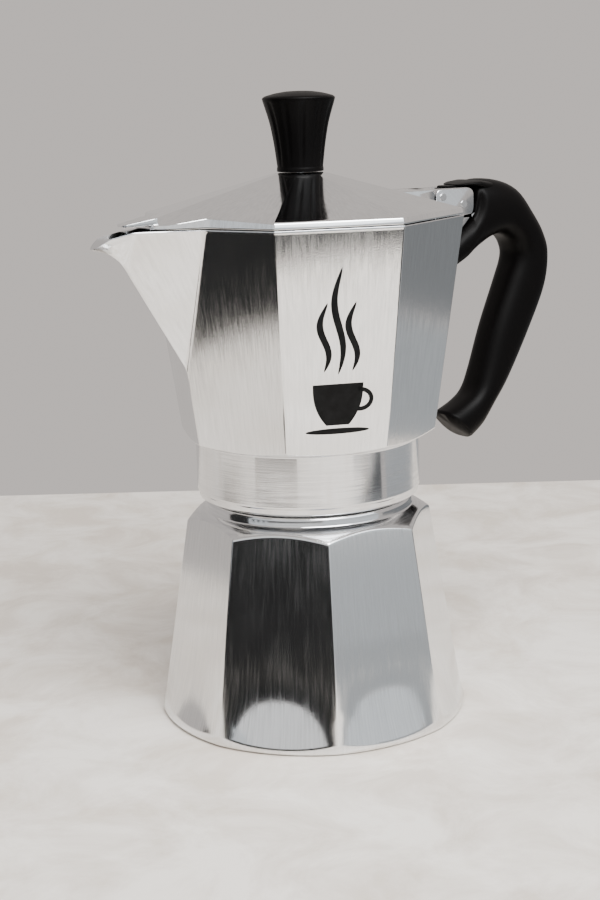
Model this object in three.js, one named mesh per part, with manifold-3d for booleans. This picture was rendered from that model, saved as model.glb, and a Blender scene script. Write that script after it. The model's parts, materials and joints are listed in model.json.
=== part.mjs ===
// Octagonal die-cast stovetop coffee pot, six-cup size.
// Millimetres. +Z up, origin at the centre of the base on the hob, spout towards -X, handle
// towards +X. The pot is shown screwed shut with its lid down.

import * as THREE from 'three';
import { mergeVertices } from 'three/addons/utils/BufferGeometryUtils.js';
import Module from 'manifold-3d';

const wasm = await Module();
wasm.setup();

// ---------------------------------------------------------------- driving dimensions
const SIDES = 8;
const GAP = 0.3; // clearance between pieces that rest on each other

const BASE_R = 53; // round foot of the boiler
const BASE_TAPER = 0.1615; // loss of corner radius per mm of height
const BASE_TURN = 17.15; // degrees the boiler ends up turned when it is screwed tight
const BASE_BLEND = 24; // height over which the round foot becomes an octagon
const SHOULDER_R = 42;
const SHOULDER_Z = 68.1;
const SHOULDER_SLOPE = 0.58;
const NECK_RING_R = 35.2; // polished ring under the thread
const NECK_RING_TOP = 74.4;
const NECK_R = 33.4;
const NECK_BORE_R = 31.2;
const NECK_TOP = 87;
const FLOOR = 3; // thickness of the boiler's floor

const THREAD_PITCH = 3.5;
const THREAD_ROD_R = 0.9; // radius of the rounded thread ridge
const THREAD_TURNS = 1.8;
const COLLAR_R = 37.9;
const COLLAR_BORE_R = 35.6;
const COLLAR_LIP_R = 37.3;
const COLLAR_BOTTOM = 76;
const COLLAR_TOP = 95.8;
const LEDGE_SLOPE = 0.357; // rise of the turned ledge from the collar out to the octagon
const SEAT_Z = 92.7; // ceiling the filter plate is pressed against

const BODY_BOTTOM_R = 43.5; // corner radius of the upper chamber just over the collar
const BODY_BOTTOM = 97.8;
const RIM_R = 53.7;
const RIM_Z = 168.9;
const BODY_WALL = 2.8; // lost from the corner radius on the inside
const CHIMNEY_TOP = 150;
const CHIMNEY_BORE_R = 4.2;

const SPOUT_FOOT_X = -47.2; // where the spout's ridge leaves the corner
const SPOUT_FOOT_Z = 123.4;
const SPOUT_BEND_X = -68; // end of the straight ridge, start of the lip
const SPOUT_BEND_Z = 157.3;
const SPOUT_TIP_X = -79.3;
const SPOUT_TIP_Z = 164;
const SPOUT_SPREAD = 0.6; // how far along each facet beside the corner the spout starts
const LIP_START_X = -68.5;
const LIP_HALF_WIDTH = 4.7;
const SPOUT_WALL = 1.9;

const LID_R = 53.5;
const LID_EDGE_TOP = 171.05;
const LID_APEX_R = 8;
const LID_APEX_Z = 183.6;
const LID_THICK = 1.8;

const HINGE_X = 55.6;
const HINGE_Z = 172.2;
const PIN_R = 1.3;
const PIN_HOLE_R = 1.6;
const LUG_HALF_WIDTH = 7;
const LUG_FRONT = 52.7;
const LUG_TOP = 175;
const SLOT_HALF_WIDTH = 3.3;
const SLOT_FLOOR = 164.5;
const TONGUE_GAP = 0.35; // on each side of a tongue in the lug's slot

const KNOB_FOOT_R = 7.7;
const KNOB_TOP_R = 12;
const KNOB_HEIGHT = 25.9;

const TONGUE_FRONT = 61.2; // front edge of the handle's tongue in the slot
const HANDLE_PIN_X = 65.2;
const HANDLE_PIN_Z = 169.3;

const VALVE_ANGLE = 84.65; // middle of a boiler facet, on the far side of the pot
const VALVE_Z = 47;

// ---------------------------------------------------------------- materials
const metal = (colour, roughness) =>
  new THREE.MeshStandardMaterial({ color: colour, metalness: 1, roughness });
const plastic = (colour, roughness) =>
  new THREE.MeshStandardMaterial({ color: colour, metalness: 0, roughness });

const castAluminium = () => metal('#c9cbcd', 0.3);
const polishedAluminium = () => metal('#d4d6d8', 0.16);
const sheetAluminium = () => metal('#bfc1c3', 0.38);
const brass = () => metal('#c2a05a', 0.3);
const steel = () => metal('#b4b5b7', 0.32);
const blackNylon = () => plastic('#151515', 0.42);
const siliconeRubber = () => plastic('#e6e3da', 0.6);

// ---------------------------------------------------------------- solids from geometry
const rad = THREE.MathUtils.degToRad;

function solid(geometry) {
  const bare = geometry.clone();
  bare.deleteAttribute('normal');
  bare.deleteAttribute('uv');
  const merged = mergeVertices(bare, 1e-4);
  const vertProperties = new Float32Array(merged.attributes.position.array);
  const triVerts = new Uint32Array(merged.index.array);
  return new wasm.Manifold(new wasm.Mesh({ numProp: 3, vertProperties, triVerts }));
}

function geometryOf(shape) {
  const mesh = shape.getMesh();
  const geometry = new THREE.BufferGeometry();
  geometry.setAttribute('position', new THREE.BufferAttribute(mesh.vertProperties, 3));
  geometry.setIndex(new THREE.BufferAttribute(mesh.triVerts, 1));
  return geometry;
}

// A profile of [radius, height] pairs turned about +Z.
function turned(profile, segments = 48) {
  const points = profile.map(([r, z]) => new THREE.Vector2(r, z));
  return new THREE.LatheGeometry(points, segments).rotateX(Math.PI / 2);
}

const ring = (outer, inner, low, high, segments) =>
  turned([[inner, low], [outer, low], [outer, high], [inner, high], [inner, low]], segments);
const disc = (radius, low, high, segments) =>
  turned([[0, low], [radius, low], [radius, high], [0, high]], segments);

// An octagonal solid whose corners, one of them on +X, follow a profile of corner radii.
const octagonal = (profile) => turned(profile, SIDES).rotateZ(Math.PI / 2);

// An outline in X and Z, given as a THREE.Shape, made as thick as 2 * halfWidth across Y.
function plateXZ(shape, halfWidth, curveSegments = 8) {
  const options = { depth: 2 * halfWidth, bevelEnabled: false, curveSegments };
  const geometry = new THREE.ExtrudeGeometry(shape, options);
  return geometry.rotateX(Math.PI / 2).translate(0, halfWidth, 0);
}

function box(x0, x1, y0, y1, z0, z1) {
  const geometry = new THREE.BoxGeometry(x1 - x0, y1 - y0, z1 - z0);
  return geometry.translate((x0 + x1) / 2, (y0 + y1) / 2, (z0 + z1) / 2);
}

// A rod of the given radius across Y, centred on (x, z).
function rodY(radius, halfLength, x, z, segments = 20) {
  return disc(radius, -halfLength, halfLength, segments).rotateX(Math.PI / 2).translate(x, 0, z);
}

// A closed solid through rings of points; every ring has the same number of points and runs the
// same way round, clockwise when seen along the way from the first ring to the last.
function loft(rings) {
  const around = rings[0].length;
  const rows = rings.length;
  const index = [];
  for (let j = 0; j < rows - 1; j += 1) {
    for (let k = 0; k < around; k += 1) {
      const a = j * around + k;
      const b = j * around + ((k + 1) % around);
      index.push(a, b + around, b, a, a + around, b + around);
    }
  }
  const end = (rows - 1) * around;
  for (let k = 1; k < around - 1; k += 1) {
    index.push(0, k, k + 1, end, end + k + 1, end + k);
  }
  const geometry = new THREE.BufferGeometry();
  geometry.setAttribute('position', new THREE.Float32BufferAttribute(rings.flat(2), 3));
  geometry.setIndex(index);
  return geometry;
}

class Helix extends THREE.Curve {
  constructor(radius, pitch, turns, start) {
    super();
    Object.assign(this, { radius, pitch, turns, start });
  }

  getPoint(t) {
    const angle = 2 * Math.PI * this.turns * t;
    const z = this.start + this.pitch * this.turns * t;
    return new THREE.Vector3(this.radius * Math.cos(angle), this.radius * Math.sin(angle), z);
  }
}

function roundSection(radius, sides) {
  const corner = (i) => {
    const angle = (2 * Math.PI * i) / sides;
    return new THREE.Vector2(radius * Math.cos(angle), radius * Math.sin(angle));
  };
  return new THREE.Shape(Array.from({ length: sides }, (_, i) => corner(i)));
}

function wire(curve, radius, steps, sides = 6) {
  return new THREE.ExtrudeGeometry(roundSection(radius, sides), { extrudePath: curve, steps });
}

function threadRidge(radius, start, turns) {
  return wire(new Helix(radius, THREAD_PITCH, turns, start), THREAD_ROD_R, Math.round(20 * turns), 5);
}

// Rings of holes for a strainer: 1 in the middle, then 6, 12, 18 ... at equal ring spacing.
function strainer(plate, rings, spacing, holeRadius, low, high) {
  let shape = solid(plate);
  for (let n = 0; n <= rings; n += 1) {
    const count = Math.max(1, 6 * n);
    for (let i = 0; i < count; i += 1) {
      const angle = (2 * Math.PI * i) / count;
      const hole = disc(holeRadius, low, high, 5);
      hole.translate(n * spacing * Math.cos(angle), n * spacing * Math.sin(angle), 0);
      shape = shape.subtract(solid(hole));
    }
  }
  return shape;
}

// ---------------------------------------------------------------- the assembly
const pot = new THREE.Group();

function add(name, shape, material, parent = pot) {
  const geometry = shape.isBufferGeometry ? shape : geometryOf(shape);
  const mesh = new THREE.Mesh(geometry, material);
  mesh.name = name;
  parent.add(mesh);
}

// ---------------------------------------------------------------- boiler
const baseRadius = (z) => BASE_R - BASE_TAPER * z;

// A round-footed solid drawn in to an octagon: each corner keeps its radius and the middle of
// each side is pulled in to the flat, fully so above the blend height.
function flattened(geometry) {
  const position = geometry.attributes.position;
  for (let i = 0; i < position.count; i += 1) {
    const [x, y, z] = [position.getX(i), position.getY(i), position.getZ(i)];
    const step = (2 * Math.PI) / SIDES;
    const within = ((Math.atan2(y, x) % step) + step) % step;
    const flat = Math.cos(step / 2) / Math.cos(within - step / 2);
    const round = Math.max(0, 1 - z / BASE_BLEND) ** 2;
    const factor = flat + (1 - flat) * round;
    position.setXY(i, x * factor, y * factor);
  }
  return geometry;
}

function boilerShape() {
  const heights = [1.6, 5, 9, 14, 19, BASE_BLEND, 80];
  const side = heights.map((z) => [baseRadius(z), z]);
  const outside = flattened(turned([[0, 0], [BASE_R - 1.4, 0], ...side, [0, 80]], 4 * SIDES));
  const coneZ = (r) => SHOULDER_Z + (SHOULDER_R - r) * SHOULDER_SLOPE;
  const neckProfile = [
    [NECK_RING_R, NECK_RING_TOP], [NECK_RING_R - 0.8, NECK_RING_TOP + 1], [NECK_R, NECK_RING_TOP + 1],
    [NECK_R, NECK_TOP - 1], [NECK_R - 1, NECK_TOP], [0, NECK_TOP],
  ];
  const shoulder = turned([
    [0, -1], [60, -1], [60, coneZ(60)], [NECK_RING_R, coneZ(NECK_RING_R)], ...neckProfile,
  ], 48);
  const neck = turned([[0, 60], [NECK_RING_R, 60], ...neckProfile], 48);
  const cavity = turned([
    [0, FLOOR], [44, FLOOR], [46.4, 5.5], [42.4, BASE_BLEND], [35.6, 62], [NECK_BORE_R, 70],
    [NECK_BORE_R, NECK_TOP + 1], [0, NECK_TOP + 1],
  ], 48);
  return solid(outside)
    .intersect(solid(shoulder))
    .add(solid(neck))
    .add(solid(threadRidge(NECK_R, 77.6, THREAD_TURNS)))
    .subtract(solid(cavity));
}

// ---------------------------------------------------------------- safety valve
// The valve's own frame: +Z out of the boiler, square to the facet, origin on the facet.
const facetMiddle = baseRadius(VALVE_Z) * Math.cos(Math.PI / SIDES);
const facetLean = Math.atan(BASE_TAPER * Math.cos(Math.PI / SIDES));
const valvePlace = new THREE.Matrix4()
  .makeRotationZ(rad(VALVE_ANGLE))
  .multiply(new THREE.Matrix4().makeTranslation(facetMiddle, 0, VALVE_Z))
  .multiply(new THREE.Matrix4().makeRotationY(Math.PI / 2 - facetLean));

const valve = new THREE.Group();
valve.applyMatrix4(valvePlace);
pot.add(valve);

const VALVE_HOLE_R = 5.3;
const valveHole = disc(VALVE_HOLE_R, -12, 4, 24).applyMatrix4(valvePlace);
const boiler = boilerShape();
add('boiler', solid(geometryOf(boiler).rotateZ(rad(BASE_TURN))).subtract(solid(valveHole)),
  castAluminium());

function valveBodyShape() {
  const nut = turned([[0, 1.5], [7.4, 1.5], [8, 2.1], [8, 6], [6.6, 7.2], [0, 7.2]], 6);
  const shank = disc(5, -7.4, 2, 24);
  const bore = turned([
    [0, -8], [3.9, -8], [3.9, -5.5], [3.2, -5.5], [3.2, 4.6], [2, 4.6], [2, 8], [0, 8],
  ], 20);
  return solid(nut).add(solid(shank)).subtract(solid(bore));
}

const valvePlunger = turned([
  [0, -5.2], [1.2, -5.2], [2.7, -4.5], [2.7, -3.6], [1.6, -3.4], [1.6, 7.8], [1.1, 7.8],
  [1.1, 8.8], [1.6, 8.8], [1.6, 10], [1, 10.4], [0, 10.4],
], 16);

add('valve_washer', ring(7.4, 5.5, GAP, 1.2, 24), steel(), valve);
add('valve_body', valveBodyShape(), brass(), valve);
add('valve_seat', ring(3.6, 1.5, -7.2, -5.8, 20), brass(), valve);
add('valve_plunger', valvePlunger, steel(), valve);
add('valve_clip', ring(2.4, 1.35, 8, 8.6, 16), steel(), valve);
add('valve_spring', wire(new Helix(2.4, 1.1, 5, -1.3), 0.3, 60, 5), steel(), valve);

// ---------------------------------------------------------------- funnel and seal
const FUNNEL_FLANGE_Z = NECK_TOP + GAP;
const funnelProfile = [
  [4.4, 10], [5.2, 10], [5.2, 60], [6.4, 61.5], [29.3, 65.6], [30.4, 67], [30.4, FUNNEL_FLANGE_Z],
  [33.2, FUNNEL_FLANGE_Z], [33.2, FUNNEL_FLANGE_Z + 1.2], [29.6, FUNNEL_FLANGE_Z + 1.2],
  [29.6, 67.4], [28.4, 66.6], [5.6, 62.6], [4.4, 61.4], [4.4, 10],
];
add('funnel', turned(funnelProfile, 32), sheetAluminium());
add('funnel_strainer', strainer(disc(29.2, 67.8, 68.8, 32), 3, 7.6, 1.3, 67, 69.5), sheetAluminium());

const GASKET_LOW = FUNNEL_FLANGE_Z + 1.2 + GAP;
add('gasket', ring(34.9, 28.2, GASKET_LOW, GASKET_LOW + 2.4, 48), siliconeRubber());

const PLATE_LOW = GASKET_LOW + 2.4 + GAP;
const plateProfile = [
  [0, PLATE_LOW + 0.2], [32.6, PLATE_LOW], [34, PLATE_LOW], [34, PLATE_LOW + 0.7], [0, PLATE_LOW + 0.9],
];
add('filter_plate', strainer(turned(plateProfile, 32), 3, 8, 1.3, PLATE_LOW - 1, PLATE_LOW + 2),
  sheetAluminium());

// ---------------------------------------------------------------- upper chamber
const bodyRadius = (z) =>
  BODY_BOTTOM_R + ((RIM_R - BODY_BOTTOM_R) * (z - BODY_BOTTOM)) / (RIM_Z - BODY_BOTTOM);

// Lower and upper outline of the spout in the plane of symmetry.
const lipUnder = new THREE.QuadraticBezierCurve(
  new THREE.Vector2(SPOUT_BEND_X, SPOUT_BEND_Z),
  new THREE.Vector2(-71.3, 162.8),
  new THREE.Vector2(SPOUT_TIP_X, SPOUT_TIP_Z),
);
const lipOver = new THREE.CubicBezierCurve(
  new THREE.Vector2(SPOUT_BEND_X, RIM_Z),
  new THREE.Vector2(-74, RIM_Z + 0.6),
  new THREE.Vector2(-76.4, RIM_Z - 0.2),
  new THREE.Vector2(SPOUT_TIP_X, SPOUT_TIP_Z + 0.6),
);
const ridgeSlope = (SPOUT_BEND_Z - SPOUT_FOOT_Z) / (SPOUT_BEND_X - SPOUT_FOOT_X);

// The spout's two sides are flat and start part of the way along the facets beside its corner.
const sideX = -RIM_R * (SPOUT_SPREAD + (1 - SPOUT_SPREAD) * Math.SQRT1_2);
const sideY = RIM_R * (1 - SPOUT_SPREAD) * Math.SQRT1_2;
const sidesMeetX = SPOUT_FOOT_X + (RIM_Z - SPOUT_FOOT_Z) / ridgeSlope;

const vHalfWidth = (x) => (sideY * (x - sidesMeetX)) / (sideX - sidesMeetX);

// Stations across the spout from startX outwards: x, lower z, upper z, half width at the top, and
// a power that is 1 where the section is a V and less where the lip rounds it out into a U.
function spoutStations(startX) {
  const stations = [startX, sideX, -56, -62].map((x) => (
    [x, SPOUT_FOOT_Z + (x - SPOUT_FOOT_X) * ridgeSlope, RIM_Z, vHalfWidth(x), 1]
  ));
  const steps = 7;
  for (let i = 0; i <= steps; i += 1) {
    const t = i / steps;
    const under = lipUnder.getPoint(t);
    const over = lipOver.getPoint(t);
    const along = Math.max(0, (LIP_START_X - under.x) / (LIP_START_X - SPOUT_TIP_X + 0.4));
    const width = LIP_HALF_WIDTH * Math.sqrt(1 - along ** 2);
    stations.push([under.x, under.y, over.y, width, 1 - 0.5 * t]);
  }
  return stations;
}

// Loft through the stations; inset moves the sides in and the ridge up, lift raises the top.
function spoutLoft(stations, inset, lift) {
  const half = 6;
  return loft(stations.map(([x, low, high, width, power]) => {
    const base = low + inset * (0.7 + 1.5 * (2 * power - 1));
    const reach = Math.max(0.15, width - inset * (0.6 + 0.4 * (2 * power - 1)));
    const top = Math.max(high, base + 0.4);
    const section = [];
    for (let k = -half; k <= half; k += 1) {
      const s = Math.abs(k) / half;
      const z = base + (top - base) * s + (s === 1 ? lift : 0);
      section.push([x, Math.sign(k) * reach * s ** power, z]);
    }
    return section;
  }));
}

// Side outline of the cast hinge lug on the corner opposite the spout.
function lugShape(grow = 0) {
  const shape = new THREE.Shape();
  shape.moveTo(44, 150 - grow);
  shape.lineTo(52, 151 - grow);
  shape.lineTo(66.4 + grow, 162.4 - grow);
  shape.quadraticCurveTo(70 + grow, 165.5 - grow, 70 + grow, 169);
  shape.lineTo(70 + grow, LUG_TOP - 3.5);
  shape.quadraticCurveTo(70 + grow, LUG_TOP + grow, 66.5, LUG_TOP + grow);
  shape.lineTo(LUG_FRONT + 2.7, LUG_TOP + grow);
  shape.quadraticCurveTo(LUG_FRONT, LUG_TOP + grow, LUG_FRONT, LUG_TOP - 2.7);
  shape.lineTo(LUG_FRONT, 167);
  shape.lineTo(44, 167);
  return shape;
}

function upperChamberShape() {
  const collarEdge = COLLAR_TOP + (COLLAR_R - 36) * LEDGE_SLOPE;
  const body = octagonal([[0, 92], [bodyRadius(92), 92], [RIM_R, RIM_Z], [0, RIM_Z]]);
  const trim = turned([
    [0, collarEdge - 1], [COLLAR_R, COLLAR_TOP], [60, COLLAR_TOP + (60 - COLLAR_R) * LEDGE_SLOPE],
    [60, RIM_Z + 1], [0, RIM_Z + 1],
  ], 48);
  const collar = turned([
    [0, COLLAR_BOTTOM], [COLLAR_LIP_R - 0.6, COLLAR_BOTTOM], [COLLAR_LIP_R, COLLAR_BOTTOM + 0.8],
    [COLLAR_LIP_R, COLLAR_BOTTOM + 2], [COLLAR_R, COLLAR_BOTTOM + 2.7], [COLLAR_R, COLLAR_TOP],
    [36, COLLAR_TOP + 3], [0, COLLAR_TOP + 3],
  ], 48);
  const cup = octagonal([
    [0, 108], [9, 107.5], [38.4, 98.6], [bodyRadius(103) - 3, 103],
    [bodyRadius(RIM_Z + 1) - BODY_WALL, RIM_Z + 1], [0, RIM_Z + 1],
  ]);
  const chimney = turned([
    [0, 100], [9.6, 104], [7, 112], [6.4, CHIMNEY_TOP], [4.6, CHIMNEY_TOP + 1.6], [0, CHIMNEY_TOP + 1.6],
  ], 24);
  const underside = turned([
    [0, 70], [COLLAR_BORE_R, 70], [COLLAR_BORE_R, SEAT_Z], [30, SEAT_Z], [12, 98.4],
    [CHIMNEY_BORE_R, 103], [CHIMNEY_BORE_R, CHIMNEY_TOP - 4], [0, CHIMNEY_TOP - 4],
  ], 40);
  const outlets = box(-9, 9, -2.4, 2.4, CHIMNEY_TOP - 12, CHIMNEY_TOP - 5);
  const ridge = solid(threadRidge(COLLAR_BORE_R, 78.6, THREAD_TURNS));
  const bareRidge = ridge.subtract(solid(disc(COLLAR_BORE_R - 0.9, 70, 95, 40)));
  const lug = solid(plateXZ(lugShape(), LUG_HALF_WIDTH));
  const lugSlot = box(51, 71, -SLOT_HALF_WIDTH, SLOT_HALF_WIDTH, SLOT_FLOOR, 180);

  const channel = spoutLoft(spoutStations(-40), SPOUT_WALL, 1);
  const cupSpace = solid(cup).add(solid(channel));
  const shell = solid(body)
    .intersect(solid(trim))
    .add(solid(collar))
    .add(solid(spoutLoft(spoutStations(-43.5), 0, 0)))
    .add(lug)
    .subtract(cupSpace)
    .add(solid(chimney))
    .subtract(solid(underside))
    .subtract(solid(outlets))
    .subtract(solid(lugSlot))
    .subtract(solid(rodY(PIN_HOLE_R, 12, HINGE_X, HINGE_Z)))
    .subtract(solid(rodY(PIN_HOLE_R, 12, HANDLE_PIN_X, HANDLE_PIN_Z)));
  return shell.add(bareRidge);
}
add('upper_chamber', upperChamberShape(), castAluminium());

// ---------------------------------------------------------------- lid
const lidSlope = (LID_APEX_Z - LID_EDGE_TOP) / (LID_R - LID_APEX_R);
const LID_LOW = RIM_Z + GAP;

// Flat outline seen from above, both sides of Y = 0.
function mirroredPlan(points) {
  const other = points.slice().reverse().map(([x, y]) => [x, -y]);
  return new THREE.Shape([...points, ...other].map(([x, y]) => new THREE.Vector2(x, y)));
}

function slab(shape, low, high) {
  const options = { depth: high - low, bevelEnabled: false };
  return new THREE.ExtrudeGeometry(shape, options).translate(0, 0, low);
}

// The two facets over the spout fall less steeply than the others: a gable whose ridge runs out to
// the hood. Each side still meets its neighbour facet along the lid's corner line.
const GABLE_SLOPE = 0.2388; // fall of the ridge towards the spout
const GABLE_SIDE_SLOPE = 0.1513; // fall away from the ridge on both sides
const GABLE_TOP = 185.81; // height of the two planes where they would meet the pot's axis

function gable() {
  const reach = 60;
  const section = (x) => {
    const ridge = GABLE_TOP + x * GABLE_SLOPE;
    const eave = ridge - reach * GABLE_SIDE_SLOPE;
    return [[x, reach, 150], [x, -reach, 150], [x, -reach, eave], [x, 0, ridge], [x, reach, eave]];
  };
  const plan = mirroredPlan([
    [0, 0], [-LID_R * Math.SQRT1_2, -LID_R * Math.SQRT1_2], [sideX, -sideY],
    [-57, -vHalfWidth(-57)], [-60.5, -5.2],
  ]);
  return solid(loft([section(-90), section(0)])).intersect(solid(slab(plan, LID_LOW, LID_APEX_Z)));
}

// The small hood at the end of the gable, with a pouring slot under it.
function hoodShape() {
  const side = new THREE.Shape();
  side.moveTo(-56.4, 169.6);
  side.lineTo(-59, 170.4);
  side.lineTo(-68.2, 170.4);
  side.quadraticCurveTo(-69.2, 170.9, -68.2, 171.2);
  side.lineTo(-58.3, 172.9);
  side.lineTo(-56.4, 172.9);
  const plan = mirroredPlan([[-50, -5.6], [-58.3, -5], [-68, -2.8], [-69.2, -1.5]]);
  return solid(plateXZ(side, 10)).intersect(solid(slab(plan, 160, 180)));
}

function lidShape() {
  const reach = 80;
  const roof = octagonal([
    [0, 150], [reach, 150], [reach, LID_APEX_Z - (reach - LID_APEX_R) * lidSlope],
    [LID_APEX_R, LID_APEX_Z], [0, LID_APEX_Z],
  ]);
  const under = octagonal([
    [0, 150], [51, 150], [51, LID_LOW + 0.4], [LID_APEX_R, LID_APEX_Z - LID_THICK],
    [0, LID_APEX_Z - LID_THICK],
  ]);
  const eaves = octagonal([[0, LID_LOW], [LID_R, LID_LOW], [LID_R, 190], [0, 190]]);
  const underSpout = slab(mirroredPlan([[-40, -12], [-53, -9], [-58, -4]]), 150, LID_LOW + 0.5);
  const cornerCut = box(LUG_FRONT - 0.8, 60, -LUG_HALF_WIDTH - 1, LUG_HALF_WIDTH + 1, 160, 190);
  const plate = solid(eaves)
    .intersect(solid(roof))
    .subtract(solid(cornerCut))
    .add(gable());

  const armSide = new THREE.Shape();
  armSide.moveTo(34, 171);
  armSide.lineTo(50.4, LID_EDGE_TOP - 0.8);
  armSide.lineTo(51.9, LID_EDGE_TOP - 0.4);
  armSide.lineTo(51.9, 174.6);
  armSide.quadraticCurveTo(51.9, 175.2, 51.2, 175.2);
  armSide.lineTo(34, 175.2);
  const arm = solid(plateXZ(armSide, LUG_HALF_WIDTH));

  const tongueSide = new THREE.Shape();
  tongueSide.moveTo(48, LID_EDGE_TOP - 0.6);
  tongueSide.lineTo(HINGE_X, HINGE_Z - 3);
  tongueSide.absarc(HINGE_X, HINGE_Z, 3, -Math.PI / 2, Math.PI / 2, false);
  tongueSide.lineTo(48, 175.2);
  const tongue = solid(plateXZ(tongueSide, SLOT_HALF_WIDTH - TONGUE_GAP));

  return plate
    .add(hoodShape())
    .add(arm)
    .add(tongue)
    .subtract(solid(under))
    .subtract(solid(underSpout))
    .subtract(solid(disc(2.3, 170, 190, 20)))
    .subtract(solid(rodY(PIN_HOLE_R, 12, HINGE_X, HINGE_Z)));
}
add('lid', lidShape(), polishedAluminium());
add('hinge_pin', rodY(PIN_R, LUG_HALF_WIDTH + 0.4, HINGE_X, HINGE_Z), steel());

// ---------------------------------------------------------------- knob
const KNOB_LOW = LID_APEX_Z + GAP;
const KNOB_FLUTES = 12;
const KNOB_BORE_R = 3.7;

function knobShape() {
  const waist = KNOB_LOW + KNOB_HEIGHT - 2.6;
  const profile = [
    [KNOB_BORE_R, KNOB_LOW], [KNOB_FOOT_R, KNOB_LOW], [KNOB_FOOT_R, KNOB_LOW + 1], [8.4, KNOB_LOW + 9],
    [9.7, KNOB_LOW + 16], [KNOB_TOP_R - 0.3, waist - 1], [KNOB_TOP_R, waist], [KNOB_TOP_R - 0.4, waist + 1],
    [9.4, waist + 2], [5, waist + 2.5], [0, waist + 2.6], [0, KNOB_LOW + 14],
    [KNOB_BORE_R, KNOB_LOW + 13], [KNOB_BORE_R, KNOB_LOW],
  ];
  let shape = solid(turned(profile, 2 * KNOB_FLUTES));
  const lean = Math.atan((KNOB_TOP_R - KNOB_FOOT_R) / KNOB_HEIGHT);
  for (let i = 0; i < KNOB_FLUTES; i += 1) {
    const flute = disc(0.9, -16, 9.4, 8).rotateY(lean);
    flute.translate(10.9, 0, KNOB_LOW + 14).rotateZ((2 * Math.PI * (i + 0.5)) / KNOB_FLUTES);
    shape = shape.subtract(solid(flute));
  }
  return shape;
}
add('knob', knobShape(), blackNylon());
add('knob_insert', ring(KNOB_BORE_R - GAP, 2.2, KNOB_LOW + 0.2, KNOB_LOW + 12.4, 20), brass());
const LID_CEILING = LID_APEX_Z - LID_THICK;
add('knob_screw', turned([
  [0, LID_CEILING - 3], [3, LID_CEILING - 2.7], [4, LID_CEILING - 1.2], [4, LID_CEILING - 1],
  [1.9, LID_CEILING - 1], [1.9, KNOB_LOW + 11.6], [0, KNOB_LOW + 12.4],
], 20), steel());
add('knob_washer', ring(5.4, 2.3, LID_CEILING - 0.8, LID_CEILING - 0.25, 24), steel());

// ---------------------------------------------------------------- handle
// The grip is a rounded section carried from the root, under the hinge, to a free end. Each
// station gives the outer edge (x, z), the inner edge (x, z) and the half thickness across Y.
const gripStations = [
  [50, 175.2, 50, 136, 9],
  [62, 176.6, 62, 144.3, 9.4],
  [72, 177.2, 72, 150.8, 9.5],
  [83, 177, 79.5, 155.9, 9.5],
  [93, 173.5, 84.5, 157.7, 9.2],
  [101.5, 165, 88.6, 156, 8.8],
  [107.6, 157.5, 90.3, 152.5, 8.4],
  [110.5, 149, 90.4, 148, 8.2],
  [107.7, 136.9, 87, 139.6, 8],
  [99.8, 121.2, 80, 124, 8],
  [89.8, 104.7, 74.2, 108.2, 8],
  [82.5, 95.6, 71.4, 101.6, 8],
  [77, 88.6, 67, 98.5, 8],
  [71.4, 83.8, 59, 95.4, 8],
];
const GRIP_SQUARENESS = 2.6; // 2 is an ellipse, more is squarer
const GRIP_SIDES = 16;

function gripShape() {
  const spline = (i, j) => new THREE.SplineCurve(
    gripStations.map((station) => new THREE.Vector2(station[i], station[j])),
  );
  const outer = spline(0, 1);
  const inner = spline(2, 3);
  const thickness = spline(4, 4);
  const squared = (v) => Math.sign(v) * Math.abs(v) ** (2 / GRIP_SQUARENESS);
  const section = (t, shrink) => {
    const a = outer.getPoint(t);
    const b = inner.getPoint(t);
    const halfY = thickness.getPoint(t).x - shrink;
    const centre = a.clone().add(b).multiplyScalar(0.5);
    const reach = a.clone().sub(b).multiplyScalar(0.5);
    reach.setLength(reach.length() - shrink);
    return Array.from({ length: GRIP_SIDES }, (_, k) => {
      const angle = (2 * Math.PI * k) / GRIP_SIDES;
      const along = squared(Math.cos(angle));
      const across = squared(Math.sin(angle)) * halfY;
      return [centre.x + reach.x * along, across, centre.y + reach.y * along];
    });
  };
  const steps = 26;
  const rings = Array.from({ length: steps + 1 }, (_, i) => section(i / steps, 0));
  const tip = section(1, 1.2).map(([x, y, z]) => [x - 0.8, y, z - 0.9]);
  return loft([...rings, tip]);
}

function handleShape() {
  const overLug = box(40, TONGUE_FRONT, -12, 12, 165, 185);
  const bodyClear = octagonal([
    [0, 80], [bodyRadius(80) + 0.5, 80], [bodyRadius(180) + 0.5, 180], [0, 180],
  ]);
  const lugClear = plateXZ(lugShape(0.4), LUG_HALF_WIDTH + 0.4);
  const dish = [-1, 1].map((side) => {
    const cut = turned([[0, 0], [13.2, 0], [16.4, 8], [0, 8]], 32).rotateX(-side * Math.PI / 2);
    return solid(cut.translate(60, side * (LUG_HALF_WIDTH + 0.2), 172));
  });
  const tongueHalf = SLOT_HALF_WIDTH - TONGUE_GAP;
  const tongue = solid(box(TONGUE_FRONT, 72, -tongueHalf, tongueHalf, SLOT_FLOOR + 0.5, 176.2));
  const hingeRoom = rodY(5, SLOT_HALF_WIDTH + 0.3, HINGE_X, HINGE_Z + 0.6);
  return solid(gripShape())
    .subtract(solid(bodyClear))
    .subtract(solid(lugClear))
    .subtract(solid(overLug))
    .subtract(dish[0])
    .subtract(dish[1])
    .add(tongue)
    .subtract(solid(hingeRoom))
    .subtract(solid(rodY(PIN_HOLE_R, 12, HANDLE_PIN_X, HANDLE_PIN_Z)));
}
add('handle', handleShape(), blackNylon());
add('handle_pin', rodY(PIN_R, LUG_HALF_WIDTH + 0.2, HANDLE_PIN_X, HANDLE_PIN_Z), steel());

export default pot;
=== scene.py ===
"""An octagonal stovetop coffee pot: cast and polished aluminium, black nylon knob and handle."""

import json
import math

import bmesh
import bpy
import numpy as np
from mathutils import Matrix, Vector


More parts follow.
